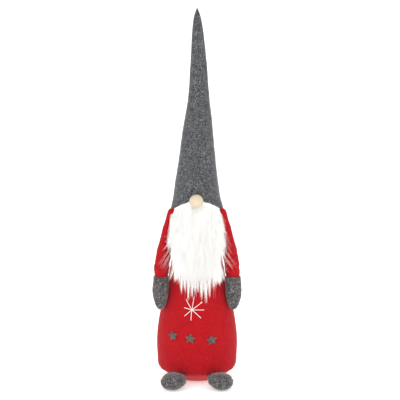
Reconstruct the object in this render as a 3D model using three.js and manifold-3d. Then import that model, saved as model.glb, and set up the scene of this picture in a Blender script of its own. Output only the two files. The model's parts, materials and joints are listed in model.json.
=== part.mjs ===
// Tomte gnome figurine: a stuffed felt gnome with a tall cone hat, a faux-fur beard, a wooden
// bead nose, hanging arms with mittens, and two stuffed feet. Millimetres, +Z up.
// The gnome faces -Y and stands on the origin. Left and right are its own: its left side is +X.
import * as THREE from "three";
import { mergeVertices } from "three/addons/utils/BufferGeometryUtils.js";
import Module from "manifold-3d";

const wasm = await Module();
wasm.setup();

// ---- Driving dimensions ----
const HEIGHT = 600;
const FELT = 2; // thickness of the body, hat and foot felt
const SLEEVE_FELT = 1.6;
const GAP = 0.4; // clearance between neighbouring pieces
const WIDE = 200; // wider than the figure, for the blocks that cut a piece
const BODY_DEPTH = 0.84; // depth over width of the body's oval
const HAT_DEPTH = 0.88;
const ARM_DEPTH = 0.85;

// How many flat sides a turned piece has
const BODY_SIDES = 32;
const HAT_SIDES = 28;
const INNER_SIDES = 20;
const ARM_SIDES = 18;

// Outlines as [half width, height]
const BODY_OUTLINE = [
  [57, 17.6], [61.5, 24], [63.8, 36], [65, 60], [63, 88], [59, 110],
  [49, 150], [40, 200], [33.5, 245], [30.5, 282], [28, 312],
];
const BASE_FLAT = 28; // half width of the flat patch that the figure stands on
const BASE_OUTLINE = [[0, 0], [BASE_FLAT, 0], [34, 2], [40, 5], [49.5, 11.6], [55.4, 16.2]];
const BALLAST_OUTLINE = [[0, 3], [28, 3], [45, 12.5], [54, 21], [55, 27], [46, 32], [0, 33]];
const FILLING_BOTTOM = 34;
const FILLING_BOTTOM_HALF = 48; // half width of the filling's underside, over the ballast
const FILLING_TOP = 322;

const HAT_OUTLINE = [
  [42.5, 262], [40.2, 283], [36.8, 303], [31.6, 342], [27, 381], [22, 420], [16.5, 459],
  [14, 498], [11, 537], [8, 572], [4.6, 590],
];
const BRIM_SIDE_HEIGHT = 283; // height of the brim at the figure's sides
const BRIM_SLOPE = 0.45; // rise of the brim per millimetre towards the front
const HAT_FILLING_BOTTOM = 328;
const BEND_HEIGHT = 440; // where the stuffed hat bends
const BEND_BALL = 18; // radius of the stuffing at the bend
const BEND_GAP = 12.4; // height of the free stretch above and below the bend

const NOSE_RADIUS = 11;
const NOSE = new THREE.Vector3(-1, -41, 298);

const BEARD_PILE = 17; // depth of the fur in front of the body
const BEARD_BACK = -30; // the fur lies between this depth
const BEARD_FRONT = -90; // and this one
const BEARD_OUTLINE = [
  [-34, 300], [-36, 284], [-44, 262], [-48, 240], [-43, 222], [-42, 196], [-40, 172],
  [-22, 160], [0, 154], [22, 160], [41, 172], [42, 196], [43, 222], [48, 240], [44, 262],
  [37, 284], [35, 300],
];

// The arm's centre line, from the mitten's tip to the shoulder
const MITTEN_TIP = 118;
const ARM_TOP = 283;
const ARM_HEIGHTS = [MITTEN_TIP, 150, 180, 200, 218, 238, 255, 272, ARM_TOP];
const ARM_ACROSS = [58, 58.7, 57, 54.3, 50.5, 46.5, 43, 39.5, 39.5];
const ARM_AHEAD_AT_TIP = -25;
const SHOULDER = new THREE.Vector3(39.5, -14, 272);
const SLEEVE_OUTLINE = [
  [10.9, 166], [11, 173.4], [12.2, 177], [12.2, 198], [12, 230], [11.6, 250],
  [10.6, 268], [8.8, 277.7], [5, 281.3], [0, 282.5],
];
const MITTEN_OUTLINE = [
  [0, MITTEN_TIP], [6, 120.6], [10.4, 128], [12.8, 140], [13.4, 152], [13.1, 173],
];
const MITTEN_FILLING_TOP = 163; // the filling is narrower above, inside the sleeve's end

const FOOT_LENGTH = 51;
const FOOT_FLATNESS = 0.62; // height over width of the foot
const FOOT_SPLAY = 38; // degrees outward
const FOOT_PITCH = 4; // degrees down towards the toe
const HEEL = new THREE.Vector3(18.5, -45.5, 14);
const FOOT_OUTLINE = [[4, 1.2], [9, 8], [16, 18], [20.5, 29], [18.8, 40], [11, 48.5], [0, FOOT_LENGTH]];

const THREAD_RADIUS = 0.6;
const SHOULDER_THREAD = new THREE.Vector3(28.4, -18, 271);
const SHOULDER_THREAD_LENGTH = 6;
const HEEL_THREAD_LENGTH = 9;
const STAR_RADIUS = 8.6;
const STAR_INNER_SHARE = 0.46; // radius of a star's inner corners over its outer ones
const STAR_FELT = 1.4;
const YARN_RADIUS = 0.75;

// Stars: where each is across and up the body's front, and its turn in degrees
const STARS = { right_star: [-37, 80, 12], middle_star: [-10.7, 77.5, -6], left_star: [23.2, 75, 8] };
// Snowflake: its centre across and up, and how far each of its stitches reaches
const SNOWFLAKE = [-8, 124];
const SNOWFLAKE_STITCHES = [
  [19.7, 0], [14.4, -13.1], [-1.4, -17], [-12.2, -10.7], [-12.3, 2.6], [-9.1, 15.7], [3.6, 19.6],
  [15, 11.4],
];

// ---- Materials ----
const material = (color, roughness, metalness = 0) =>
  new THREE.MeshStandardMaterial({ color, roughness, metalness });
const redFelt = material(0xb8202a, 0.95);
const greyFelt = material(0x77797b, 0.95);
const hatFelt = material(0x5d6063, 0.95);
const starFelt = material(0x6c716d, 0.95);
const whiteFur = material(0xf5f2ec, 0.9);
const beadWood = material(0xf1dcbd, 0.55);
const whiteYarn = material(0xf2ece4, 0.85);
const stuffing = material(0xf7f7f4, 1);
const ballastCloth = material(0xcfc6b4, 0.95);
const seamThread = material(0x8c1a22, 0.8);

// ---- Building blocks ----
const vectors = (points) => points.map(([across, up]) => new THREE.Vector2(across, up));

// A smooth line of `count` stretches through an outline's points
const smooth = (points, count) => new THREE.SplineCurve(vectors(points)).getPoints(count);

// An outline that goes up its outside, moved inward; its ends on the axis stay there
function inset(outline, distance) {
  return outline.map((point, i) => {
    const before = outline[Math.max(i - 1, 0)];
    const after = outline[Math.min(i + 1, outline.length - 1)];
    const along = after.clone().sub(before).normalize();
    if (point.x < 1e-6) return new THREE.Vector2(0, point.y + (i === 0 ? distance : -distance));
    const moved = new THREE.Vector2(-along.y, along.x).multiplyScalar(distance).add(point);
    return moved.setX(Math.max(moved.x, 0.2));
  });
}

// A turned shape about the upright axis, from a profile that is closed or ends on the axis
function turned(profile, sides, depth = 1) {
  return new THREE.LatheGeometry(profile, sides).rotateX(Math.PI / 2).scale(1, depth, 1);
}

// The profile of a felt shell whose outside is the outline
function shell(outline, thickness) {
  const profile = [...outline, ...inset(outline, thickness).reverse()];
  if (outline[0].x > 0) profile.push(outline[0].clone());
  return profile;
}

// The profile of the stuffing inside an outline, closed on the axis at both ends
function stuffed(outline, margin) {
  const inside = inset(outline, margin).filter((point) => point.x > 0.5);
  const [first, last] = [inside[0], inside[inside.length - 1]];
  return [new THREE.Vector2(0, first.y), ...inside, new THREE.Vector2(0, last.y)];
}

function solid(geometry) {
  const bare = geometry.clone();
  bare.deleteAttribute("normal");
  bare.deleteAttribute("uv");
  const merged = mergeVertices(bare, 1e-4);
  return new wasm.Manifold(new wasm.Mesh({
    numProp: 3,
    vertProperties: merged.attributes.position.array,
    triVerts: new Uint32Array(merged.index.array),
  }));
}

function geometryOf(made) {
  const mesh = made.getMesh();
  const geometry = new THREE.BufferGeometry();
  geometry.setAttribute("position", new THREE.BufferAttribute(mesh.vertProperties, 3));
  geometry.setIndex(new THREE.BufferAttribute(mesh.triVerts, 1));
  geometry.computeVertexNormals();
  return geometry;
}

const figure = new THREE.Group();

function add(name, geometry, look) {
  const mesh = new THREE.Mesh(geometry, look);
  mesh.name = name;
  figure.add(mesh);
}

// ---- Body ----
const bodyOutline = smooth(BODY_OUTLINE, 13);
const baseOutline = vectors(BASE_OUTLINE);

// Distance from the axis to the body's front at a height, straight ahead of a point across
function bodyFront(across, height) {
  const above = bodyOutline.findIndex((point) => point.y > height);
  const [low, high] = [bodyOutline[above - 1], bodyOutline[above]];
  const share = (height - low.y) / (high.y - low.y);
  const half = low.x + share * (high.x - low.x);
  return BODY_DEPTH * Math.sqrt(half ** 2 - across ** 2);
}

function body() {
  const ballast = vectors(BALLAST_OUTLINE);
  const filling = inset(bodyOutline, FELT + GAP).filter((point) => point.y > FILLING_BOTTOM + 3);
  const neck = filling[filling.length - 1];
  const fillingProfile = [
    new THREE.Vector2(0, FILLING_BOTTOM),
    new THREE.Vector2(FILLING_BOTTOM_HALF, FILLING_BOTTOM),
    ...filling,
    new THREE.Vector2(neck.x * 0.6, FILLING_TOP - 3),
    new THREE.Vector2(0, FILLING_TOP),
  ];
  add("body_cover", turned(shell(bodyOutline, FELT), BODY_SIDES, BODY_DEPTH), redFelt);
  add("base_panel", turned(shell(baseOutline, FELT), BODY_SIDES, BODY_DEPTH), redFelt);
  add("ballast_bag", turned(ballast, INNER_SIDES, BODY_DEPTH * 0.98), ballastCloth);
  add("body_filling", turned(fillingProfile, INNER_SIDES, BODY_DEPTH), stuffing);
}

// ---- Nose ----
function noseBall(radius) {
  return solid(new THREE.SphereGeometry(radius, 18, 12).translate(NOSE.x, NOSE.y, NOSE.z));
}

function nose() {
  add("nose_bead", geometryOf(noseBall(NOSE_RADIUS)), beadWood);
}

// ---- Hat ----
// A block between two heights above the sloping plane of the brim
function brimBlock(from, to) {
  const block = new THREE.BoxGeometry(WIDE, WIDE, to - from)
    .translate(0, 0, (from + to) / 2)
    .rotateX(-Math.atan(BRIM_SLOPE))
    .translate(0, 0, BRIM_SIDE_HEIGHT);
  return solid(block);
}

function hat() {
  const outline = [...smooth(HAT_OUTLINE, 14), new THREE.Vector2(0, HEIGHT)];
  const lowest = BEND_HEIGHT - BEND_GAP;
  const highest = BEND_HEIGHT + BEND_GAP;
  const level = (height) => {
    const above = outline.findIndex((point) => point.y > height);
    const [low, high] = [outline[above - 1], outline[above]];
    return low.clone().lerp(high, (height - low.y) / (high.y - low.y));
  };
  const lower = [...outline.filter((point) => point.y < lowest - 2), level(lowest)];
  const upper = [level(highest), ...outline.filter((point) => point.y > highest + 2)];

  // The brim is cut on a slope, low at the nape, and arches over the nose
  const cover = solid(turned(shell(lower, FELT), HAT_SIDES, HAT_DEPTH))
    .subtract(brimBlock(-60, 0))
    .subtract(noseBall(NOSE_RADIUS + 2 * GAP));
  add("hat_cover_lower", geometryOf(cover), hatFelt);
  add("hat_cover_upper", turned(shell(upper, FELT), INNER_SIDES, HAT_DEPTH), hatFelt);

  // The stuffing is rounded at the bend, and the upper stuffing is hollowed to sit over it
  const arc = (radius, from, to, steps) => {
    const points = new THREE.Path().absarc(0, BEND_HEIGHT, radius, from, to, to < from);
    return points.getPoints(steps);
  };
  const lowerInside = inset(lower, FELT + GAP).filter(
    (point) => point.y > HAT_FILLING_BOTTOM && point.y < lowest - 4,
  );
  const upperInside = inset(upper, FELT + GAP).filter((point) => point.y > highest + 4 && point.x > 1);
  const tip = upperInside[upperInside.length - 1];
  const lowerProfile = [
    new THREE.Vector2(0, HAT_FILLING_BOTTOM),
    ...lowerInside,
    ...arc(BEND_BALL, -Math.PI / 4.5, Math.PI / 2, 8),
  ];
  const socket = BEND_BALL + GAP;
  const upperProfile = [
    ...arc(socket, Math.PI / 2, Math.PI / 4, 4),
    ...upperInside,
    new THREE.Vector2(0, tip.y + 3),
  ];
  lowerProfile[lowerProfile.length - 1].setX(0);
  upperProfile[0].setX(0);
  add("hat_filling_lower", turned(lowerProfile, INNER_SIDES, HAT_DEPTH), stuffing);
  add("hat_filling_upper", turned(upperProfile, INNER_SIDES, HAT_DEPTH), stuffing);
}

// ---- Beard ----
// The body's outline grown by a margin, as a solid
function grownBody(margin) {
  const outline = inset(bodyOutline, -margin);
  const [first, last] = [outline[0], outline[outline.length - 1]];
  const profile = [new THREE.Vector2(0, first.y), ...outline, new THREE.Vector2(0, last.y)];
  return solid(turned(profile, BODY_SIDES, BODY_DEPTH));
}

// The fur, as one block of pile that lies on the body, under the brim and round the nose
function beard() {
  const block = new THREE.ExtrudeGeometry(new THREE.Shape(vectors(BEARD_OUTLINE)), {
    depth: BEARD_BACK - BEARD_FRONT,
    bevelEnabled: false,
  });
  const fur = solid(block.rotateX(Math.PI / 2).translate(0, BEARD_BACK, 0))
    .intersect(grownBody(BEARD_PILE))
    .subtract(grownBody(GAP))
    .subtract(brimBlock(-GAP, WIDE))
    .subtract(noseBall(NOSE_RADIUS + 2 * GAP));
  add("beard_fur", geometryOf(fur), whiteFur);
}

// ---- Arms ----
const armAcross = new THREE.CubicInterpolant(ARM_HEIGHTS, ARM_ACROSS, 1);

// Moves each level of an upright turned arm piece to its place on the arm's centre line
function onArm(geometry, side) {
  const place = geometry.getAttribute("position");
  for (let i = 0; i < place.count; i += 1) {
    const height = place.getZ(i);
    const share = THREE.MathUtils.clamp((SHOULDER.z - height) / (SHOULDER.z - MITTEN_TIP), 0, 1);
    const ahead = THREE.MathUtils.lerp(SHOULDER.y, ARM_AHEAD_AT_TIP, share);
    const centre = armAcross.evaluate(THREE.MathUtils.clamp(height, MITTEN_TIP, ARM_TOP))[0];
    place.setXYZ(i, place.getX(i) + side * centre, place.getY(i) + ahead, height);
  }
  return geometry;
}

function arm(name, side) {
  const sleeve = vectors(SLEEVE_OUTLINE);
  const mitten = vectors(MITTEN_OUTLINE);
  const inMitten = inset(mitten, SLEEVE_FELT + GAP)
    .filter((point) => point.x > 0.5 && point.y < MITTEN_FILLING_TOP);
  const inSleeve = inset(sleeve, SLEEVE_FELT + GAP).filter((point) => point.x > 3);
  const top = inSleeve[inSleeve.length - 1];
  const filling = [
    new THREE.Vector2(0, MITTEN_TIP + SLEEVE_FELT + 1.5 * GAP),
    ...inMitten,
    ...inSleeve,
    new THREE.Vector2(0, top.y + 3 * GAP),
  ];
  const placed = (profile) => onArm(turned(profile, ARM_SIDES, ARM_DEPTH), side);
  add(`${name}_sleeve`, placed(shell(sleeve, SLEEVE_FELT)), redFelt);
  add(`${name}_mitten`, placed(shell(mitten, SLEEVE_FELT)), greyFelt);
  add(`${name}_arm_filling`, placed(filling), stuffing);

  const seam = new THREE.CylinderGeometry(THREAD_RADIUS, THREAD_RADIUS, SHOULDER_THREAD_LENGTH, 8)
    .translate(side * SHOULDER_THREAD.x, SHOULDER_THREAD.y, SHOULDER_THREAD.z);
  add(`${name}_shoulder_thread`, seam, seamThread);
}

// ---- Feet ----
function foot(name, side) {
  const splay = THREE.MathUtils.degToRad(FOOT_SPLAY);
  const pitch = THREE.MathUtils.degToRad(FOOT_PITCH);
  const heel = new THREE.Vector3(side * HEEL.x, HEEL.y, HEEL.z);
  const across = new THREE.Vector3(Math.cos(splay), side * Math.sin(splay), 0);
  const toe = new THREE.Vector3(
    side * Math.sin(splay) * Math.cos(pitch),
    -Math.cos(splay) * Math.cos(pitch),
    -Math.sin(pitch),
  );
  const placed = new THREE.Matrix4()
    .makeBasis(across, toe, across.clone().cross(toe))
    .setPosition(heel);
  const floor = solid(new THREE.BoxGeometry(WIDE, WIDE, WIDE).translate(heel.x, heel.y, -WIDE / 2));
  const onFloor = (profile) => {
    const piece = new THREE.LatheGeometry(profile, ARM_SIDES).scale(1, 1, FOOT_FLATNESS);
    return geometryOf(solid(piece.applyMatrix4(placed)).subtract(floor));
  };
  const outline = vectors(FOOT_OUTLINE);
  add(`${name}_foot_cover`, onFloor(shell(outline, FELT)), greyFelt);
  add(`${name}_foot_filling`, onFloor(stuffed(outline, FELT + GAP)), stuffing);

  const seam = new THREE.CylinderGeometry(THREAD_RADIUS, THREAD_RADIUS, HEEL_THREAD_LENGTH, 8)
    .rotateZ(Math.PI / 2)
    .applyMatrix4(placed);
  add(`${name}_foot_thread`, seam, seamThread);
}

// ---- Trim on the body's front ----
// A frame that lies on the body's front: its X runs across, its Y up, and its Z out of the felt
function onFront(across, height, lift) {
  const point = (x, z) => new THREE.Vector3(x, -bodyFront(x, z), z);
  const middle = point(across, height);
  const right = point(across + 1, height).sub(middle).normalize();
  const up = point(across, height + 1).sub(middle);
  up.addScaledVector(right, -up.dot(right)).normalize();
  const out = right.clone().cross(up);
  return new THREE.Matrix4().makeBasis(right, up, out).setPosition(middle.addScaledVector(out, lift));
}

function star(name, [across, height, turn]) {
  const points = Array.from({ length: 10 }, (_, i) => {
    const angle = THREE.MathUtils.degToRad(90 + turn + 36 * i);
    const radius = i % 2 ? STAR_RADIUS * STAR_INNER_SHARE : STAR_RADIUS;
    return new THREE.Vector2(radius * Math.cos(angle), radius * Math.sin(angle));
  });
  const piece = new THREE.ExtrudeGeometry(new THREE.Shape(points), {
    depth: STAR_FELT,
    bevelEnabled: false,
  });
  add(name, piece.applyMatrix4(onFront(across, height, GAP)), starFelt);
}

function snowflake() {
  const [across, height] = SNOWFLAKE;
  const lift = YARN_RADIUS + GAP + 0.5;
  const end = (x, z) => new THREE.Vector3().setFromMatrixPosition(onFront(x, z, lift));
  const centre = end(across, height);
  const knot = new THREE.SphereGeometry(YARN_RADIUS * 1.5, 8, 6)
    .translate(centre.x, centre.y - 0.4, centre.z);
  const stitches = SNOWFLAKE_STITCHES.map(([x, z]) => {
    const reach = end(across + x, height + z).sub(centre);
    const stitch = new THREE.CylinderGeometry(YARN_RADIUS, YARN_RADIUS, reach.length(), 6);
    stitch.translate(0, reach.length() / 2, 0);
    const turn = new THREE.Quaternion().setFromUnitVectors(
      new THREE.Vector3(0, 1, 0), reach.clone().normalize(),
    );
    return solid(stitch.applyQuaternion(turn).translate(centre.x, centre.y, centre.z));
  });
  const yarn = stitches.reduce((whole, stitch) => whole.add(stitch), solid(knot));
  add("snowflake_yarn", geometryOf(yarn), whiteYarn);
}

body();
nose();
hat();
beard();
arm("right", -1);
arm("left", 1);
foot("right", -1);
foot("left", 1);
Object.entries(STARS).forEach(([name, place]) => star(name, place));
snowflake();

export default figure;
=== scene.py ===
"""Looks of the tomte gnome figurine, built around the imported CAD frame.

Metres, +Z up. The gnome faces -Y. Sizes below are in millimetres where a name ends in _MM. The
body, base, hat, sleeves, mittens, feet and fillings are lofted through cross sections of their
CAD solids. The stars and the snowflake are laid on the finished body, the beard on the sections.
"""
import json
import math

import bpy
import numpy as np
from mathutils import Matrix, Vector, noise
from mathutils.bvhtree import BVHTree


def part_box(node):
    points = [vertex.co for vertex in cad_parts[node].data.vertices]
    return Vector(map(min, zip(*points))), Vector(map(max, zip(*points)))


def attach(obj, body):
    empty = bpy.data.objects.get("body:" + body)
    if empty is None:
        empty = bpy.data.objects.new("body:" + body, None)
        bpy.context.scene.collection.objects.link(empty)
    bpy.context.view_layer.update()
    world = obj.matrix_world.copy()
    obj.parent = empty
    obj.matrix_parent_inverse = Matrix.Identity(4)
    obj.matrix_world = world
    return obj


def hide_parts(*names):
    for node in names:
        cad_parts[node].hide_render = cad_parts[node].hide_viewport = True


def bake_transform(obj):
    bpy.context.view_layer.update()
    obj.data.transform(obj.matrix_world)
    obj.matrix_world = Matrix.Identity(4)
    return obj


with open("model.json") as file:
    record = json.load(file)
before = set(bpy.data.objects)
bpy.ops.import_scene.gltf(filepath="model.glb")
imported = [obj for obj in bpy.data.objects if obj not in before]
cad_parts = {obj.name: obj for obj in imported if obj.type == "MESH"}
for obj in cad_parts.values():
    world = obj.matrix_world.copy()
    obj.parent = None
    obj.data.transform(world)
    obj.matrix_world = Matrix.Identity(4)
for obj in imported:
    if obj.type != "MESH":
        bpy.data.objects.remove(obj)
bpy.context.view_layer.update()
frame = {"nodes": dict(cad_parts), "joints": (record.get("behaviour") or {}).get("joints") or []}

MM = 0.001
RANDOM = np.random.default_rng(2412)
UPRIGHT = np.eye(3)  # rows: across, depth, along
CLOTH_STEPS = 20
OVERALL_PASSES = 22  # how far the stuffing's overall growth is evened out

# ---------------------------------------------------------------- cross sections of the CAD


def node_edges(names):
    """The two ends of every edge of these CAD nodes, in the row frame."""
    starts, ends = [], []
    for name in names:
        mesh = frame["nodes"][name].data
        points = np.array([v.co for v in mesh.vertices], float)
        edges = np.array([e.vertices[:] for e in mesh.edges], int)
        starts.append(points[edges[:, 0]])
        ends.append(points[edges[:, 1]])
    return np.concatenate(starts), np.concatenate(ends)


def sections(names, heights, axes=UPRIGHT, origin=(0, 0, 0)):
    """(centre across, centre in depth, half width, half depth) of the nodes at each height along
    the third axis. Heights that miss the solid take the nearest section that doesn't."""
    starts, ends = ((p - np.array(origin)) @ axes.T for p in node_edges(names))
    found = []
    for height in heights:
        crossing = (starts[:, 2] - height) * (ends[:, 2] - height) < 0
        a, b = starts[crossing], ends[crossing]
        if len(a) < 3:
            found.append([np.nan] * 4)
            continue
        share = ((height - a[:, 2]) / (b[:, 2] - a[:, 2]))[:, None]
        cut = (a + share * (b - a))[:, :2]
        low, high = cut.min(0), cut.max(0)
        found.append([*((low + high) / 2), *((high - low) / 2)])
    found = np.array(found)
    known = ~np.isnan(found[:, 0])
    for k in range(4):
        found[:, k] = np.interp(heights, np.array(heights)[known], found[known, k])
    return found


def softened(values, passes):
    """Rows averaged with their neighbours, the ends kept."""
    values = values.copy()
    for _ in range(passes):
        values[1:-1] = (values[:-2] + 2 * values[1:-1] + values[2:]) / 4
    return values


# ---------------------------------------------------------------- meshes


def new_piece(name, points, faces):
    """A smooth-shaded mesh object in the scene."""
    mesh = bpy.data.meshes.new(name)
    mesh.from_pydata(np.asarray(points, float).tolist(), [], faces)
    mesh.update()
    piece = bpy.data.objects.new(name, mesh)
    bpy.context.scene.collection.objects.link(piece)
    mesh.polygons.foreach_set("use_smooth", [True] * len(mesh.polygons))
    return piece


def lofted(name, rings):
    """A closed form through rings of points, with a pole beyond each end."""
    rings = np.asarray(rings, float)
    count, around = rings.shape[:2]
    points = np.concatenate([rings.reshape(-1, 3), [rings[0].mean(0)], [rings[-1].mean(0)]])
    faces = []
    for i in range(count - 1):
        for j in range(around):
            k = (j + 1) % around
            faces.append([i * around + j, i * around + k, (i + 1) * around + k, (i + 1) * around + j])
    low, high = count * around, count * around + 1
    last = (count - 1) * around
    for j in range(around):
        k = (j + 1) % around
        faces.append([low, k, j])
        faces.append([high, last + j, last + k])
    return new_piece(name, points, faces)


def oval_rings(heights, shapes, around, axes=UPRIGHT, origin=(0, 0, 0), margin=0.0):
    """Rings of an oval form: shapes holds a centre and half sizes for each height."""
    angles = np.linspace(0, 2 * math.pi, around, endpoint=False)
    rings = np.zeros((len(heights), around, 3))
    for i, (height, (cx, cy, rx, ry)) in enumerate(zip(heights, shapes)):
        rings[i, :, 0] = cx + max(rx - margin, 0.0003) * np.cos(angles)
        rings[i, :, 1] = cy + max(ry - margin, 0.0003) * np.sin(angles)
        rings[i, :, 2] = height
    return rings @ axes + np.array(origin)


def domed(low, high, count):
    """Heights from low to high that crowd towards both ends, where a form rounds off."""
    return (low + high) / 2 - (high - low) / 2 * np.cos(np.linspace(0, math.pi, count))


def coordinates(piece):
    points = np.empty(len(piece.data.vertices) * 3)
    piece.data.vertices.foreach_get("co", points)
    return points.reshape(-1, 3)


def normals(piece):
    values = np.empty(len(piece.data.vertices) * 3, np.float32)
    piece.data.vertex_normals.foreach_get("vector", values)
    return values.reshape(-1, 3).astype(float)


def set_coordinates(piece, points):
    piece.data.vertices.foreach_set("co", np.asarray(points, np.float32).ravel())
    piece.data.update()


def apply_modifiers(piece):
    graph = bpy.context.evaluated_depsgraph_get()
    done = bpy.data.meshes.new_from_object(piece.evaluated_get(graph))
    old = piece.data
    piece.modifiers.clear()
    piece.data = done
    bpy.data.meshes.remove(old)
    done.polygons.foreach_set("use_smooth", [True] * len(done.polygons))
    done.update()


def subdivided(piece, levels):
    modifier = piece.modifiers.new("finer", "SUBSURF")
    modifier.levels = modifier.render_levels = levels
    apply_modifiers(piece)


def tree_of(piece):
    return BVHTree.FromPolygons(
        [v.co for v in piece.data.vertices], [p.vertices[:] for p in piece.data.polygons]
    )


# ---------------------------------------------------------------- stuffing by cloth simulation


def evened(piece, field, passes):
    """A field of values at the points, averaged with those of their neighbours."""
    edges = np.array([e.vertices[:] for e in piece.data.edges], int)
    ends = np.concatenate([edges, edges[:, ::-1]])
    count = np.bincount(ends[:, 0], minlength=len(field))[:, None]
    for _ in range(passes):
        total = np.zeros_like(field)
        np.add.at(total, ends[:, 0], field[ends[:, 1]])
        field = 0.5 * field + 0.5 * total / np.maximum(count, 1)
    return field


def stuff(piece, voxel, swell, scale=1.0, hold=None, gather=None, shrink=0.08, pressure=4.0):
    """Fills a piece like a sewn bag: remeshed, then blown up as cloth. The cloth's own dents and
    bulges stay, its overall size doesn't change, and no point moves further than swell. hold and
    gather give a weight from 0 to 1 for each point: how firmly it is held, and how much the seam
    thread draws the cloth together. Small pieces are simulated enlarged."""
    set_coordinates(piece, coordinates(piece) * scale)
    remesh = piece.modifiers.new("cloth_grid", "REMESH")
    remesh.mode = "VOXEL"
    remesh.voxel_size = voxel * scale
    apply_modifiers(piece)
    before = coordinates(piece)
    for name, weigh in (("hold", hold), ("gather", gather)):
        group = piece.vertex_groups.new(name=name)
        weights = weigh(before / scale) if weigh else np.zeros(len(before))
        for i in np.flatnonzero(weights > 0.01):
            group.add([int(i)], float(weights[i]), "REPLACE")
    cloth = piece.modifiers.new("stuffing", "CLOTH")
    settings = cloth.settings
    settings.quality = 6
    settings.mass = 0.3
    settings.tension_stiffness = settings.compression_stiffness = 30
    settings.shear_stiffness = 12
    settings.bending_stiffness = 2.0
    settings.use_pressure = True
    settings.uniform_pressure_force = pressure
    settings.vertex_group_mass = "hold"
    settings.vertex_group_shrink = "gather"
    settings.shrink_min = 0.0
    settings.shrink_max = shrink
    settings.effector_weights.gravity = 0
    cloth.collision_settings.use_collision = False
    scene = bpy.context.scene
    for step in range(1, CLOTH_STEPS + 1):
        scene.frame_set(step)
    apply_modifiers(piece)
    scene.frame_set(1)
    moved = coordinates(piece) - before
    moved -= evened(piece, moved, OVERALL_PASSES)
    reach = np.linalg.norm(moved, axis=1, keepdims=True)
    limit = swell * scale
    moved *= np.minimum(1, limit / np.maximum(reach, 1e-9))
    set_coordinates(piece, before + moved)
    piece.vertex_groups.clear()
    set_coordinates(piece, coordinates(piece) / scale)
    return piece


def make_stuffing(node, body, margin, axes=UPRIGHT, origin=(0, 0, 0), reshape=None):
    """The loose fibre that fills a piece, a little smaller than the space inside it; reshape
    moves its points in the same way as those of the piece around it."""
    starts, ends = node_edges([node])
    along = (np.concatenate([starts, ends]) - np.array(origin)) @ axes[2]
    heights = domed(along.min() + 2 * margin, along.max() - 2 * margin, 40)
    shapes = sections([node], heights, axes, origin)
    filling = lofted(f"{node}_fibre", oval_rings(heights, shapes, 40, axes, origin, margin))
    if np.linalg.det(axes) < 0:
        filling.data.flip_normals()
    pushed(filling, 0.3 * margin * lumps(coordinates(filling), 18 * MM, 31))
    points = coordinates(filling)
    if reshape:
        points = reshape(points)
    points[:, 2] = np.maximum(points[:, 2], 2 * MM)
    set_coordinates(filling, points)
    dress(filling, FIBRE_FILL, body)
    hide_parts(node)


def grow_fuzz(piece, name, count, tones, body):
    """Short loose fibres that stand off a felt piece; they ride on body unless it is None."""
    mesh = piece.data
    mesh.calc_loop_triangles()
    corners = np.array([t.vertices[:] for t in mesh.loop_triangles], int)
    spots = coordinates(piece)[corners]
    across = np.cross(spots[:, 1] - spots[:, 0], spots[:, 2] - spots[:, 0])
    area = np.linalg.norm(across, axis=1)
    chosen = RANDOM.choice(len(area), count, p=area / area.sum())
    weights = RANDOM.dirichlet((1, 1, 1), count)
    root = (spots[chosen] * weights[:, :, None]).sum(1)
    out = across[chosen] / area[chosen, None]
    lean = unit(RANDOM.normal(0, 1, (count, 3)))
    way = out * RANDOM.uniform(0.3, 0.9, (count, 1)) + lean * 0.8
    way += out * np.clip(0.15 - (way * out).sum(1, keepdims=True), 0, None)
    way = unit(way)
    tip = root + way * RANDOM.gamma(4, 0.3, (count, 1)) * MM
    side = unit(np.cross(way, lean))
    other = np.cross(way, side)
    radius = RANDOM.uniform(0.04, 0.07, (count, 1)) * MM
    root -= out * 0.1 * MM
    points = np.zeros((count, 4, 3))
    for k in range(3):
        turn = 2 * math.pi * k / 3
        points[:, k] = root + radius * (math.cos(turn) * side + math.sin(turn) * other)
    points[:, 3] = tip
    points[:, :, 2] = np.maximum(points[:, :, 2], 0.02 * MM)
    first = 4 * np.arange(count)[:, None]
    faces = np.concatenate([first + [0, 2, 1], first + [0, 1, 3], first + [1, 2, 3], first + [2, 0, 3]], 1)
    fuzz = new_piece(name, points.reshape(-1, 3), faces.reshape(-1, 3).tolist())
    for tone in tones:
        fuzz.data.materials.append(tone)
    fuzz.data.polygons.foreach_set(
        "material_index", np.repeat(RANDOM.integers(0, len(tones), count), 4)
    )
    if body:
        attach(fuzz, body)
    return fuzz


def unit(vectors):
    return vectors / np.maximum(np.linalg.norm(vectors, axis=-1, keepdims=True), 1e-9)


def way_up(distance, width):
    """0 where a distance is below 0, 1 where it is above the width, and even between."""
    return np.clip(distance / width, 0, 1)


def lumps(points, size, seed):
    """Smooth noise from -1 to 1 at each point, with lumps of about this size."""
    shift = Vector((seed * 7.3, seed * 3.1, seed * 5.7))
    return np.array([noise.noise(Vector(p) / size + shift) for p in points])


def pushed(piece, amount):
    """Moves each point along its normal by its amount."""
    set_coordinates(piece, coordinates(piece) + normals(piece) * np.asarray(amount)[:, None])


def ridge(distance, width):
    return np.exp(-((distance / width) ** 2))


# ---------------------------------------------------------------- materials


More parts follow.
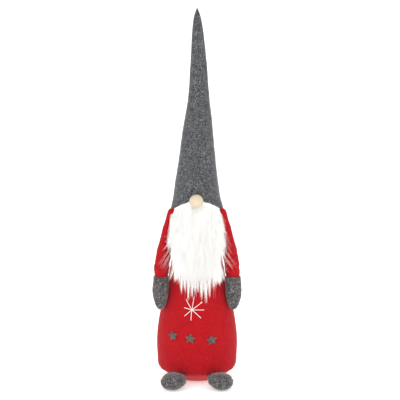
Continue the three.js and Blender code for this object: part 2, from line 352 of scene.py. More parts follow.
class Nodes:
    """A material's node tree, with short calls to add and link nodes."""

    def __init__(self, name):
        self.material = bpy.data.materials.new(name)
        self.material.use_nodes = True
        self.tree = self.material.node_tree
        self.shader = next(n for n in self.tree.nodes if n.type == "BSDF_PRINCIPLED")
        self.place = self.add("ShaderNodeTexCoord").outputs["Object"]

    def add(self, kind, **values):
        node = self.tree.nodes.new(kind)
        for key, value in values.items():
            if hasattr(node, key):
                setattr(node, key, value)
            else:
                node.inputs[key.replace("_", " ").title()].default_value = value
        return node

    def link(self, start, end):
        self.tree.links.new(start, end)

    def stretched(self, scale):
        node = self.add("ShaderNodeMapping")
        self.link(self.place, node.inputs["Vector"])
        node.inputs["Scale"].default_value = scale
        return node.outputs["Vector"]

    def noise(self, scale, detail=3.0, roughness=0.6, distortion=0.0, place=None):
        node = self.add("ShaderNodeTexNoise")
        self.link(place or self.place, node.inputs["Vector"])
        node.inputs["Scale"].default_value = scale
        node.inputs["Detail"].default_value = detail
        node.inputs["Roughness"].default_value = roughness
        node.inputs["Distortion"].default_value = distortion
        return node.outputs["Fac"]

    def ramp(self, factor, stops):
        node = self.add("ShaderNodeValToRGB")
        self.link(factor, node.inputs["Fac"])
        ramp = node.color_ramp
        while len(ramp.elements) < len(stops):
            ramp.elements.new(0.5)
        for element, (place, color) in zip(ramp.elements, stops):
            element.position = place
            element.color = (*color, 1)
        return node.outputs["Color"]

    def mixed(self, factor, first, second, blend="MIX"):
        node = self.add("ShaderNodeMix", data_type="RGBA", blend_type=blend)
        for value, socket in ((factor, 0), (first, 6), (second, 7)):
            if hasattr(value, "is_output"):
                self.link(value, node.inputs[socket])
            elif socket == 0:
                node.inputs[socket].default_value = value
            else:
                node.inputs[socket].default_value = (*value, 1)
        return node.outputs[2]

    def math(self, operation, first, second):
        node = self.add("ShaderNodeMath", operation=operation)
        for value, socket in ((first, 0), (second, 1)):
            if hasattr(value, "is_output"):
                self.link(value, node.inputs[socket])
            else:
                node.inputs[socket].default_value = value
        return node.outputs[0]

    def set(self, **values):
        for key, value in values.items():
            self.shader.inputs[key.replace("_", " ")].default_value = value

    def finish(self, color, rough, height, bump_mm, strength=1.0):
        """Links the colour, a roughness range over a pattern, and bump from a height pattern."""
        self.link(color, self.shader.inputs["Base Color"])
        spread = self.add("ShaderNodeMapRange")
        self.link(height, spread.inputs["Value"])
        spread.inputs["To Min"].default_value = rough[0]
        spread.inputs["To Max"].default_value = rough[1]
        self.link(spread.outputs["Result"], self.shader.inputs["Roughness"])
        bump = self.add("ShaderNodeBump")
        bump.inputs["Strength"].default_value = strength
        bump.inputs["Distance"].default_value = bump_mm * MM
        self.link(height, bump.inputs["Height"])
        self.link(bump.outputs["Normal"], self.shader.inputs["Normal"])
        return self.material


def felt(name, dark, middle, light, spread=0.15, sheen=0.25, tint=(1, 1, 1), bump_mm=0.5, curl=1.0):
    """Wool felt: matted fibres of three tones, in clouds, with a nap that catches light. The
    smaller the spread, the harder the flecks; the smaller the curl, the straighter the fibres."""
    n = Nodes(name)
    fibres = n.noise(300, detail=6, roughness=0.78, distortion=1.8 * curl)
    flecks = n.noise(760, detail=4, roughness=0.8, distortion=2.4 * curl)
    clouds = n.noise(70, detail=3, roughness=0.55)
    weave = n.math("ADD", n.math("MULTIPLY", fibres, 0.62), n.math("MULTIPLY", flecks, 0.38))
    color = n.ramp(weave, [(0.5 - spread, dark), (0.5, middle), (0.5 + spread, light)])
    shade = n.ramp(clouds, [(0.3, (0.93, 0.93, 0.93)), (0.7, (1.05, 1.05, 1.05))])
    color = n.mixed(1.0, color, shade, "MULTIPLY")
    n.set(Sheen_Weight=sheen, Sheen_Roughness=0.45, Sheen_Tint=(*tint, 1), Specular_IOR_Level=0.1)
    return n.finish(color, (0.86, 0.98), weave, bump_mm)


def fur_tone(name, color):
    """One tone of acrylic fur fibre."""
    n = Nodes(name)
    n.set(
        Base_Color=(*color, 1), Roughness=0.62, Specular_IOR_Level=0.3,
        Sheen_Weight=0.25, Sheen_Roughness=0.4,
    )
    return n.material


def fur_ground():
    """The dense white under-fur: fine streaks that run down the pile."""
    n = Nodes("fur_ground")
    streaks = n.noise(260, detail=4, roughness=0.7, place=n.stretched((1, 1, 0.12)))
    color = n.ramp(streaks, [(0.25, (0.9, 0.885, 0.86)), (0.55, (0.96, 0.955, 0.935))])
    n.set(Sheen_Weight=0.3, Sheen_Roughness=0.5)
    return n.finish(color, (0.7, 0.9), streaks, 1.2)


def bead_wood():
    """Pale sanded wood: faint growth rings and short pores."""
    n = Nodes("bead_wood")
    place = n.stretched((1, 0.35, 1))
    rings = n.add("ShaderNodeTexWave", wave_type="BANDS", bands_direction="X")
    n.link(place, rings.inputs["Vector"])
    rings.inputs["Scale"].default_value = 90
    rings.inputs["Distortion"].default_value = 3.5
    rings.inputs["Detail"].default_value = 2
    pores = n.noise(1400, detail=2, place=n.stretched((1, 1, 0.15)))
    color = n.ramp(rings.outputs["Fac"], [(0.0, (0.51, 0.41, 0.29)), (1.0, (0.58, 0.485, 0.36))])
    color = n.mixed(
        0.18, color, n.ramp(pores, [(0.4, (0.5, 0.38, 0.26)), (0.6, (0.68, 0.58, 0.45))])
    )
    n.set(Coat_Weight=0.08, Coat_Roughness=0.35)
    return n.finish(color, (0.42, 0.58), pores, 0.05, 0.4)


def yarn(name, color, shadow):
    """Twisted fibre: streaks along the strand."""
    n = Nodes(name)
    fuzz = n.noise(1800, detail=4, roughness=0.7, distortion=1.0)
    tone = n.ramp(fuzz, [(0.3, shadow), (0.6, color)])
    n.set(Sheen_Weight=0.3, Sheen_Roughness=0.5)
    return n.finish(tone, (0.75, 0.92), fuzz, 0.15)


def fibre_fill():
    """Loose polyester stuffing."""
    n = Nodes("polyester_fibre")
    curls = n.noise(300, detail=5, roughness=0.7, distortion=2.5)
    color = n.ramp(curls, [(0.3, (0.8, 0.8, 0.79)), (0.6, (0.94, 0.94, 0.93))])
    n.set(Sheen_Weight=0.3)
    return n.finish(color, (0.8, 0.95), curls, 1.5)


def ballast_cloth():
    """Plain-woven cotton over pellets."""
    n = Nodes("ballast_cotton")
    threads = n.add("ShaderNodeTexWave", wave_type="BANDS", bands_direction="DIAGONAL")
    n.link(n.place, threads.inputs["Vector"])
    threads.inputs["Scale"].default_value = 420
    threads.inputs["Distortion"].default_value = 1.0
    pellets = n.noise(280, detail=1)
    height = n.math("ADD", n.math("MULTIPLY", threads.outputs["Fac"], 0.3), pellets)
    color = n.ramp(threads.outputs["Fac"], [(0.2, (0.62, 0.57, 0.48)), (0.8, (0.74, 0.7, 0.6))])
    return n.finish(color, (0.8, 0.95), height, 0.8)


FLOOR_GLOW = 0.35  # the floor is a lit table, so shadows on it stay pale


def floor_material():
    n = Nodes("studio_floor")
    soft = n.noise(3, detail=1)
    color = n.ramp(soft, [(0.0, (0.93, 0.93, 0.93)), (1.0, (0.95, 0.95, 0.95))])
    n.set(Emission_Color=(1, 1, 1, 1), Emission_Strength=FLOOR_GLOW)
    return n.finish(color, (0.9, 0.95), soft, 0.01)


RED_FELT = felt(
    "red_felt", (0.27, 0.003, 0.006), (0.35, 0.005, 0.009), (0.43, 0.012, 0.018),
    spread=0.14, sheen=0.16, tint=(1.0, 0.45, 0.45), bump_mm=0.35,
)
# The base's felt is the red felt with its tones painted lighter and pinker: painted light where the base
# lies in shade under the body.
PAINTED_LIGHT_BASE_FELT = felt(
    "red_felt_stretched", (0.4, 0.012, 0.018), (0.5, 0.024, 0.032), (0.6, 0.05, 0.06),
    spread=0.14, sheen=0.3, tint=(1.0, 0.6, 0.6), bump_mm=0.35,
)
HAT_FELT = felt(
    "hat_felt", (0.006, 0.007, 0.009), (0.05, 0.052, 0.056), (0.27, 0.275, 0.285), spread=0.115
)
GREY_FELT = felt(
    "grey_felt", (0.008, 0.0075, 0.0075), (0.058, 0.053, 0.052), (0.29, 0.272, 0.266),
    spread=0.115, sheen=0.36, curl=0.5,
)
STAR_FELT = felt(
    "star_felt", (0.02, 0.019, 0.017), (0.075, 0.071, 0.064), (0.22, 0.21, 0.19), spread=0.1
)
FUR_GROUND = fur_ground()
FUR_TONES = [
    fur_tone("fur_white", (0.93, 0.925, 0.9)),
    fur_tone("fur_warm", (0.91, 0.895, 0.86)),
    fur_tone("fur_cool", (0.9, 0.9, 0.885)),
    fur_tone("fur_shade", (0.84, 0.83, 0.8)),
]
RED_FUZZ = [fur_tone("red_fuzz", (0.42, 0.02, 0.03)), fur_tone("red_fuzz_pale", (0.55, 0.09, 0.1))]
GREY_FUZZ = [
    fur_tone("grey_fuzz", (0.12, 0.12, 0.122)), fur_tone("grey_fuzz_pale", (0.34, 0.34, 0.34)),
]
FUZZ_TONES = {"red_felt": RED_FUZZ, "grey_felt": GREY_FUZZ}
BEAD_WOOD = bead_wood()
WHITE_YARN = yarn("white_yarn", (0.96, 0.94, 0.9), (0.84, 0.81, 0.77))
SEAM_THREAD = yarn("seam_thread", (0.56, 0.03, 0.04), (0.44, 0.016, 0.026))
FIBRE_FILL = fibre_fill()
BALLAST_CLOTH = ballast_cloth()


def dress(piece, material, body=None):
    """Gives a piece its material, and lets it ride on a body."""
    piece.data.materials.clear()
    piece.data.materials.append(material)
    if body:
        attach(piece, body)
    return piece


def finish_felt(piece, material, slot, body, node, hairs):
    """Dresses a stuffed felt piece, lets it stand for its CAD node, and grows its loose fibres."""
    dress(piece, material, body)
    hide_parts(node)
    fuzz_name = piece.name.removesuffix("_felt") + "_fuzz"
    grow_fuzz(piece, fuzz_name, hairs, FUZZ_TONES[slot], body)


# ---------------------------------------------------------------- studio and camera

WORLD_LIGHT = 1.14
FLOOR_HALF = 60.0
LAMPS = [  # name, place, size, watts
    ("key", (-0.9, -1.5, 1.3), 1.0, 4.5),
    ("fill", (1.4, -1.0, 0.7), 1.2, 2.0),
    ("low_front", (0.0, -2.0, 0.2), 1.6, 16.0),
]
LAMP_AIM = Vector((0, 0, 0.28))
VIEW_ELEVATION = math.radians(10)
VIEW_LENS = 150.0
VIEW_HEIGHT = 0.640  # metres of the object's plane that the frame takes in
VIEW_AIM = Vector((0.0048, 0, 0.293))


def studio():
    """The lights, the floor and the camera, which stands where the photo's did."""
    scene = bpy.context.scene
    scene.view_settings.view_transform = "Standard"
    scene.view_settings.look = "None"

    world = bpy.data.worlds.new("studio")
    world.use_nodes = True
    world.node_tree.nodes["Background"].inputs["Color"].default_value = (1, 1, 1, 1)
    world.node_tree.nodes["Background"].inputs["Strength"].default_value = WORLD_LIGHT
    scene.world = world

    corners = [(x * FLOOR_HALF, y * FLOOR_HALF, 0) for x, y in ((-1, -1), (1, -1), (1, 1), (-1, 1))]
    floor = new_piece("studio_floor", corners, [[0, 1, 2, 3]])
    floor.data.materials.append(floor_material())

    for name, place, size, watts in LAMPS:
        lamp = bpy.data.lights.new(name, "AREA")
        lamp.size = size
        lamp.energy = watts
        light = bpy.data.objects.new(name, lamp)
        light.location = place
        aim = LAMP_AIM - light.location
        light.rotation_euler = aim.to_track_quat("-Z", "Y").to_euler()
        scene.collection.objects.link(light)

    lens = bpy.data.cameras.new("camera")
    lens.lens = VIEW_LENS
    lens.sensor_width = 36
    lens.clip_end = 200
    camera = bpy.data.objects.new("camera", lens)
    distance = VIEW_LENS / lens.sensor_width * VIEW_HEIGHT
    away = Vector((0, -math.cos(VIEW_ELEVATION), math.sin(VIEW_ELEVATION)))
    camera.location = VIEW_AIM + away * distance
    camera.rotation_euler = (-away).to_track_quat("-Z", "Y").to_euler()
    scene.collection.objects.link(camera)
    scene.camera = camera


# ---------------------------------------------------------------- body

BODY_LOW, BODY_HIGH = (corner[2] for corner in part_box("body_cover"))
BODY_DEPTH_SHARE = 0.84  # the body's depth for its width
SEAM_PUCKERS = 44  # round the seam at the low end, where the base is sewn in
UNDER_BRIM = 0.27  # the hat holds and hides the body above this height
ARMPITS = 0.245  # the sleeves lie close to the body above this height


def back_seam(points, width):
    """Weight of the upright seam down the middle of the back."""
    return ridge(points[:, 0], width) * (points[:, 1] > 0)


def make_body():
    """The red sack: lofted, stuffed as cloth, then given its seam, its puckers and its grain."""
    heights = np.linspace(BODY_LOW + 0.0002, BODY_HIGH - 0.0002, 60)
    shapes = softened(sections(["body_cover"], heights), 4)
    top = shapes[-1]
    bottom = shapes[0]
    dome = [(BODY_HIGH + 5 * MM * math.sin(a), math.cos(a)) for a in (0.5, 1.0, 1.4)]
    levels = [BODY_LOW + 1.5 * MM, BODY_LOW - 0.1 * MM, *heights, *(z for z, _ in dome)]
    ovals = [
        bottom * [1, 1, 0.6, 0.6],
        bottom * [1, 1, 0.965, 0.965],
        *shapes,
        *(top * [1, 1, share, share] for _, share in dome),
    ]
    body = lofted("body", oval_rings(levels, ovals, 72, margin=0.3 * MM))

    def hold(points):
        low = ridge(points[:, 2] - BODY_LOW, 9 * MM)
        high = way_up(points[:, 2] - UNDER_BRIM, 20 * MM)
        return np.maximum(low, high)

    def gather(points):
        return back_seam(points, 4 * MM)

    stuff(body, 5 * MM, 3 * MM, hold=hold, gather=gather)
    subdivided(body, 2)
    points = coordinates(body)
    angle = np.arctan2(points[:, 1], points[:, 0])
    near_base = np.exp(-np.clip(points[:, 2] - BODY_LOW, 0, None) / (7 * MM))
    puckers = near_base * np.cos(SEAM_PUCKERS * angle + 3 * lumps(points, 30 * MM, 1))
    half = np.interp(points[:, 2], heights, shapes[:, 2])
    ahead = np.where(points[:, 1] < 0, 1 - way_up(np.abs(points[:, 0]), half) ** 2, 0)
    by_feet = ahead * way_up(np.abs(points[:, 0]) - 15 * MM, 6 * MM)
    by_feet *= np.clip(1 - (points[:, 2] - BODY_LOW) / (35 * MM), 0, 1) ** 0.5
    by_shoulders = way_up(points[:, 2] - ARMPITS, 15 * MM)
    clear = (1 - by_feet) * (1 - by_shoulders)  # room for the lifted feet and arms
    fuller = 0.8 + 2.2 * ridge(points[:, 2] - BODY_LOW - 7 * MM, 10 * MM)
    uneven = 0.9 * lumps(points, 42 * MM, 2)
    grain = 0.10 * lumps(points, 3 * MM, 3)
    seam = 1.5 * back_seam(points, 1.6 * MM)
    pushed(body, (clear * (fuller + uneven) + 0.35 * puckers + grain - seam) * MM)
    finish_felt(body, RED_FELT, "red_felt", "torso", "body_cover", 26000)
    return body


def make_base():
    """The rounded underside, which stands on a flat patch."""
    low, high = (corner[2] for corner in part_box("base_panel"))
    rim = sections(["base_panel"], [high - 2 * MM])[0]
    flat = sections(["base_panel"], [low + 0.2 * MM])[0]
    heights = low + (high - low) * np.linspace(0.01, 0.9, 26) ** 1.4
    shapes = sections(["base_panel"], heights)
    bulge = np.sin(math.pi * way_up(heights - low, high - low))
    shapes[:, 2:] *= 1 + 0.03 * bulge[:, None]
    levels = [low, low, *heights, high - 1.4 * MM, high - 1.0 * MM, high - 1.6 * MM]
    ovals = [
        flat * [1, 1, 0.5, 0.5], flat * [1, 1, 0.93, 0.93], *shapes, rim,
        rim * [1, 1, 0.97, 0.97], rim * [1, 1, 0.8, 0.8],
    ]
    base = lofted("base", oval_rings(levels, ovals, 120))
    subdivided(base, 1)
    points = coordinates(base)
    angle = np.arctan2(points[:, 1], points[:, 0])
    near_seam = np.exp(-np.clip(high - points[:, 2], 0, None) / (4 * MM))
    off_floor = way_up(points[:, 2], 3 * MM)
    pushed(base, off_floor * 0.35 * MM * near_seam * np.cos(SEAM_PUCKERS * angle))
    # The base wears the red felt painted lighter: painted light.
    finish_felt(base, PAINTED_LIGHT_BASE_FELT, "red_felt", "torso", "base_panel", 3000)


# ---------------------------------------------------------------- hat

HAT_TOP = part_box("hat_cover_upper")[1][2]
HAT_THICK = 2.2 * MM
BRIM_ABOVE_SIDE = 291 * MM  # the CAD brim is whole above this height


def hat_profile():
    """Heights, half widths at them, and depth over width of the whole hat."""
    known = np.linspace(BRIM_ABOVE_SIDE + 9 * MM, HAT_TOP - 0.4 * MM, 90)
    shapes = sections(["hat_cover_lower", "hat_cover_upper"], known)
    return known, softened(shapes[:, 2:3], 6)[:, 0], np.median(shapes[:, 3] / shapes[:, 2])


HAT_HEIGHTS, HAT_HALVES, HAT_DEPTH = hat_profile()


def hat_radii(heights):
    """Half widths of the hat, which goes on opening below the lowest known one."""
    slope = (HAT_HALVES[0] - HAT_HALVES[6]) / (HAT_HEIGHTS[6] - HAT_HEIGHTS[0])
    below = np.clip(HAT_HEIGHTS[0] - heights, 0, None)
    return np.interp(heights, HAT_HEIGHTS, HAT_HALVES) + slope * below


LEAN_HEIGHT, LEAN_REACH = 0.48, 0.1  # the hat's middle sways to one side around this height
BRIM_SIDE_MM = 280
BRIM_FRONT_RISE_MM = 17
BRIM_NAPE_DROP_MM = 10
BRIM_HALF_WIDTH_MM = 38
NOSE_ARCH_MM = 9.5  # the brim's arch over the nose is as high as it is half wide


def hat_lean(heights):
    """How far the hat's middle stands off the figure's own middle, across."""
    return (3.6 * ridge(heights - LEAN_HEIGHT, LEAN_REACH) - 0.6) * MM


def brim_height(angles):
    """Height of the brim's edge round the hat: up over the nose, low at the nape."""
    ahead = np.clip(-np.sin(angles), 0, 1)
    behind = np.clip(np.sin(angles), 0, 1)
    off_nose = np.abs(np.cos(angles) * BRIM_HALF_WIDTH_MM + 1)
    arch = NOSE_ARCH_MM * np.exp(-((off_nose / NOSE_ARCH_MM) ** 3)) * (np.sin(angles) < 0)
    rise = BRIM_FRONT_RISE_MM * ahead**2 + arch - BRIM_NAPE_DROP_MM * behind
    return (BRIM_SIDE_MM + rise) * MM


def hat_rings(margin, floor, has_brim):
    """Rings of the hat: up its inside from floor, round its brim and up its outside, or, without
    a brim, of a plain cone that starts at floor. Margin moves the outside inward."""
    around = 112
    angles = np.linspace(0, 2 * math.pi, around, endpoint=False)
    rim = brim_height(angles)

    def ring(heights, inward):
        radii = np.maximum(hat_radii(heights) - inward, 0.0004)
        left = 2.6 * np.clip(np.cos(angles - 0.25), 0, 1) ** 3
        right = 1.0 * np.clip(-np.cos(angles), 0, 1) ** 4
        flare = (left + right) * MM * ridge(heights - BRIM_SIDE_MM * MM, 12 * MM)
        x = hat_lean(heights) + (radii + flare) * np.cos(angles)
        y = radii * HAT_DEPTH * np.sin(angles)
        return np.stack([x, y, heights], 1)

    share = np.concatenate([np.linspace(0, 0.9, 110) ** 1.08, 1 - np.geomspace(0.11, 0.002, 16)])
    share.sort()
    if not has_brim:
        start = np.full(around, floor)
        return [ring(start + (HAT_TOP - margin - floor) * s, margin) for s in share]
    outer = [ring(rim + (HAT_TOP - rim) * s, margin) for s in share]
    inner = [ring(rim + s * (floor - rim), HAT_THICK) for s in (1.0, 0.75, 0.5, 0.25, 0.04)]
    lip = [ring(rim - 0.5 * MM, HAT_THICK * 0.75), ring(rim - 0.6 * MM, HAT_THICK * 0.3)]
    return [*inner, *lip, *outer]


HAT_INSIDE_END = 0.312  # how far up the felt's inner side is made
HAT_STUFFING_LOW = 0.330
HAT_STUFFING_MARGIN = 3.4 * MM


def make_hat():
    """The felt cone, its loose fibres and its filling, which ride on no body."""
    hat = lofted("hat", hat_rings(0.0, HAT_INSIDE_END, True))
    subdivided(hat, 1)
    points = coordinates(hat)
    above_brim = way_up(points[:, 2] - 290 * MM, 30 * MM)
    below_tip = np.clip((HAT_TOP + 10 * MM - points[:, 2]) / (200 * MM), 0.1, 1)
    uneven = 0.8 * lumps(points, 32 * MM, 5) + 0.45 * lumps(points, 13 * MM, 6)
    seam = 1.3 * back_seam(points, 1.5 * MM)
    grain = 0.10 * lumps(points, 3 * MM, 7)
    pushed(hat, (above_brim * below_tip * (uneven - seam) + grain) * MM)
    fuzz = grow_fuzz(hat, "hat_fuzz", 16000, GREY_FUZZ, None)
    stuffing = lofted("hat_stuffing", hat_rings(HAT_STUFFING_MARGIN, HAT_STUFFING_LOW, False))
    dress(hat, HAT_FELT)
    dress(stuffing, FIBRE_FILL)
    for bending in (hat, fuzz, stuffing):
        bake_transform(bending)
    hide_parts("hat_cover_lower", "hat_cover_upper")
    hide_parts("hat_filling_lower", "hat_filling_upper")


# ---------------------------------------------------------------- arms

# Folds across a sleeve's inner side: height in metres, slant, and depth in millimetres
SLEEVE_FOLDS = [(0.247, 0.35, 1.0), (0.229, -0.3, 1.1), (0.212, 0.25, 0.7), (0.192, -0.2, 0.6)]
SLEEVE_MIDDLE = 50 * MM  # how far out the folds' heights are measured
SLEEVE_CUFF_TOP = 186 * MM
SHOULDER_FROM = 250 * MM  # above this the sleeve's rings are drawn up under the brim
PLAIN_FROM = 262 * MM  # above this the sleeve has no folds, so that it clears the body
MITTEN_CUFF_LOW = 152 * MM
MITTEN_TIP_HIGH = 142 * MM


def make_arm(name):
    """A sleeve, stuffed as cloth and folded on its inner side, and the mitten it ends in."""
    body = f"{name}_arm"
    sign = 1 if name == "left" else -1
    cuff, shoulder = (corner[2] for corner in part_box(f"{name}_sleeve"))
    heights = domed(cuff + 0.1 * MM, shoulder - 0.1 * MM, 46)
    shapes = softened(sections([f"{name}_sleeve"], heights), 2)
    shapes[:, 2:] *= 1 - 0.07 * way_up(SLEEVE_CUFF_TOP - heights, 13 * MM)[:, None]
    heights = heights + 1.5 * MM * way_up(heights - SHOULDER_FROM, shoulder - SHOULDER_FROM) ** 2
    sleeve = lofted(f"{name}_sleeve_felt", oval_rings(heights, shapes, 48, margin=0.2 * MM))

    def hold(points):
        return way_up(cuff + 12 * MM - points[:, 2], 6 * MM)

    def inner_seam(points):
        middle = np.interp(points[:, 2], heights, shapes[:, 1])
        inside = np.interp(points[:, 2], heights, shapes[:, 0])
        return ridge(points[:, 1] - middle, 3 * MM) * (sign * (points[:, 0] - inside) < 0)

    stuff(sleeve, 2.2 * MM, 1.2 * MM, scale=2.5, hold=hold, gather=inner_seam, shrink=0.12)
    subdivided(sleeve, 2)
    points = coordinates(sleeve)
    folds = np.zeros(len(points))
    wander = 2 * MM * lumps(points, 12 * MM, 9)
    off_middle = sign * (points[:, 0] - np.interp(points[:, 2], heights, shapes[:, 0]))
    inner_side = np.clip(0.55 - off_middle / (12 * MM), 0, 1)
    for height, slant, depth in SLEEVE_FOLDS:
        line = height + slant * (sign * points[:, 0] - SLEEVE_MIDDLE) + wander
        folds -= depth * ridge(points[:, 2] - line, 2.6 * MM) * inner_side
    loose = way_up(points[:, 2] - cuff - 10 * MM, 8 * MM)
    below_shoulder = way_up(PLAIN_FROM - points[:, 2], 10 * MM)
    pushed(
        sleeve,
        loose * below_shoulder * (0.9 + folds + 0.4 * lumps(points, 17 * MM, 10)) * MM
        - 0.8 * MM * inner_seam(points) * loose
        + 0.08 * MM * lumps(points, 3 * MM, 11),
    )
    finish_felt(sleeve, RED_FELT, "red_felt", body, f"{name}_sleeve", 4000)
    make_mitten(name, sign, body)


def make_mitten(name, sign, body):
    """A stuffed mitten, whose open end stands round the end of the sleeve."""
    tip, rim = (corner[2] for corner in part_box(f"{name}_mitten"))
    rounding = 1 - np.cos(np.linspace(0, math.pi / 2, 40))
    heights = tip + 0.1 * MM + (rim - tip - 0.2 * MM) * rounding
    shapes = sections([f"{name}_mitten"], heights)
    shapes[:, 2:] = softened(shapes[:, 2:], 2)
    at_cuff = way_up(heights - MITTEN_CUFF_LOW, rim - MITTEN_CUFF_LOW)
    at_tip = way_up(MITTEN_TIP_HIGH - heights, MITTEN_TIP_HIGH - tip)
    shapes[:, 2:] *= ((1 - 0.05 * at_cuff) * (1 - 0.16 * at_tip))[:, None]
    mouth = shapes[-1]
    thick = 1.7 * MM
    levels = [*heights, rim + 0.2 * MM, rim + 0.1 * MM, rim - 1 * MM, rim - 7.5 * MM]
    ovals = [
        *shapes, mouth - [0, 0, 0.4 * MM, 0.4 * MM], mouth - [0, 0, thick * 0.8, thick * 0.8],
        mouth - [0, 0, thick, thick], mouth - [0, 0, thick, thick],
    ]
    mitten = lofted(f"{name}_mitten_felt", oval_rings(levels, ovals, 64))
    subdivided(mitten, 1)
    points = coordinates(mitten)
    middle = np.interp(points[:, 2], heights, shapes[:, 1])
    seam = ridge(points[:, 1] - middle, 1.1 * MM) * (points[:, 2] < rim - 0.8 * MM)
    below_mouth = way_up(rim - points[:, 2], 6 * MM)
    pushed(
        mitten,
        -0.9 * MM * seam * below_mouth
        + 0.7 * MM * lumps(points, 14 * MM, 13 + sign) * below_mouth
        + 0.12 * MM * lumps(points, 3 * MM, 14),
    )
    finish_felt(mitten, GREY_FELT, "grey_felt", body, f"{name}_mitten", 3000)


# ---------------------------------------------------------------- feet


def make_foot(name):
    """A foot, made along its own axes: the hinge, the direction of its toe, and upward."""
    body = f"{name}_foot"
    sign = 1 if name == "left" else -1
    joint = next(j for j in frame["joints"] if j["name"] == f"{name}_toe_lift")
    hinge = np.array(joint["axis"], float)
    hinge /= np.linalg.norm(hinge)
    toe = np.cross(hinge, [0, 0, -1.0])
    axes = np.array([hinge, np.cross(toe, hinge), toe])
    heel = np.array(joint["pos_m"], float)
    starts, ends = node_edges([f"{name}_foot_cover"])
    reach = (np.concatenate([starts, ends]) - heel) @ toe
    heights = domed(reach.min() + 0.2 * MM, reach.max() - 0.2 * MM, 40)
    shapes = softened(sections([f"{name}_foot_cover"], heights, axes, heel), 2)
    foot = lofted(f"{name}_foot_felt", oval_rings(heights, shapes, 48, axes, heel, margin=0.2 * MM))
    if np.linalg.det(axes) < 0:
        foot.data.flip_normals()

    def from_heel(points):
        return (points - heel) @ toe

    def hold(points):
        return way_up(8 * MM - from_heel(points), 5 * MM)

    def edge_seam(points, width=2.5 * MM):
        return ridge((points - heel) @ axes[1] + 2 * MM, width)

    def tapered(points):
        """The foot narrows to its heel: its underside rises off the floor there."""
        towards_heel = np.clip(1 - from_heel(points) / (38 * MM), 0, 1) ** 1.1
        underside = way_up(heel[2] - points[:, 2], 9 * MM)
        raised = points[:, 2] + towards_heel * (0.6 + 7.4 * underside) * MM
        return np.column_stack([points[:, :2], np.maximum(raised, 0.15 * MM)])

    stuff(foot, 2.0 * MM, 1.6 * MM, scale=2.5, hold=hold, gather=edge_seam, shrink=0.12)
    subdivided(foot, 2)
    points = coordinates(foot)
    off_floor = way_up(points[:, 2], 4 * MM)
    upward = np.clip(normals(foot)[:, 2], 0, 1)
    growth = way_up(from_heel(points) - 4 * MM, 20 * MM)
    bulges = growth * (0.3 + 1.8 * upward + 0.8 * lumps(points, 14 * MM, 17 + sign))
    pushed(
        foot,
        off_floor * (bulges + 0.12 * lumps(points, 3 * MM, 18)) * MM
        - 0.7 * MM * edge_seam(points, 1.2 * MM) * off_floor,
    )
    set_coordinates(foot, tapered(coordinates(foot)))
    finish_felt(foot, GREY_FELT, "grey_felt", body, f"{name}_foot_cover", 3000)
    make_stuffing(f"{name}_foot_filling", body, 1.5 * MM, axes, heel, tapered)


# ---------------------------------------------------------------- nose


def make_nose():
    """A turned bead: a slightly flattened ball with a drilled bore from top to bottom."""
    low, high = (Vector(corner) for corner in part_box("nose_bead"))
    centre = (low + high) / 2
    radius = (high.x - low.x) / 2
    bore = 1.6 * MM
    edge = math.acos(bore / radius)
    outside = [
        (radius * math.cos(a), radius * 0.985 * math.sin(a)) for a in np.linspace(-edge, edge, 40)
    ]
    rim = outside[-1][1]
    inside = [(bore, rim - 1.5 * MM), (bore, rim - 5 * MM)]
    below = [(x, -z) for x, z in reversed(inside)]
    profile = [*below, *outside, *inside]
    angles = np.linspace(0, 2 * math.pi, 64, endpoint=False)
    rings = [
        [(centre.x + r * math.cos(a), centre.y + r * math.sin(a), centre.z + z) for a in angles]
        for r, z in profile
    ]
    nose = lofted("nose", rings)
    dress(nose, BEAD_WOOD, "torso")
    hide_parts("nose_bead")


# ---------------------------------------------------------------- trim on the body's front


class Front:
    """The finished body seen from the front: a point and a normal for each place on it."""

    def __init__(self, body):
        self.tree = tree_of(body)

    def at(self, x, z):
        point, normal, _, _ = self.tree.ray_cast(Vector((x, -1, z)), Vector((0, 1, 0)))
        return point, normal

    def lifted(self, x, z, lift):
        point, normal = self.at(x, z)
        return point + normal * lift


STAR_OUTER = 8.8 * MM
STAR_INNER = STAR_OUTER * 0.47
STAR_THICK = 1.5 * MM
# From the back's middle round the edge to the front's: share of the outline, share of the thickness
STAR_RINGS = [
    (0.05, 0.1), (0.5, 0.1), (0.9, 0.1), (0.985, 0.25), (1.0, 0.5), (0.985, 0.85),
    (0.94, 1.0), (0.7, 1.0), (0.4, 1.0), (0.05, 1.0),
]


def make_star(front, name, turn, stretch):
    """A star cut from thin felt, glued on so that it follows the body's curve."""
    low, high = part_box(name)
    middle = ((low[0] + high[0]) / 2, (low[2] + high[2]) / 2)
    outline = []
    for k in range(10):
        radius, following = (STAR_INNER, STAR_OUTER) if k % 2 else (STAR_OUTER, STAR_INNER)
        a, b = (math.radians(90 + turn + 36 * (k + step)) for step in (0, 1))
        for s in np.linspace(0, 1, 8, endpoint=False):
            start = np.array([math.cos(a), math.sin(a)]) * radius
            end = np.array([math.cos(b), math.sin(b)]) * following
            outline.append(start + s * (end - start))
    outline = np.array(outline)
    for _ in range(3):
        outline = (np.roll(outline, 1, 0) + 2 * outline + np.roll(outline, -1, 0)) / 4
    rings = []
    for share, lift in STAR_RINGS:
        ring = []
        for across, up in outline * share * [stretch, 1]:
            rough = 1 + 0.05 * noise.noise(Vector((across, up, 0)) * 700)
            x, z = middle[0] + across * rough, middle[1] + up * rough
            ring.append(front.lifted(x, z, 0.3 * MM + lift * STAR_THICK))
        rings.append(ring)
    star = lofted(f"{name}_felt", rings)
    dress(star, STAR_FELT, "torso")
    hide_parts(name)


def beside_path(path):
    """Two directions at right angles to a path and to each other, at each of its points."""
    along = unit(np.gradient(path, axis=0))
    side = unit(np.cross(along, [0.05, 1, 0.02]))
    return side, np.cross(side, along)


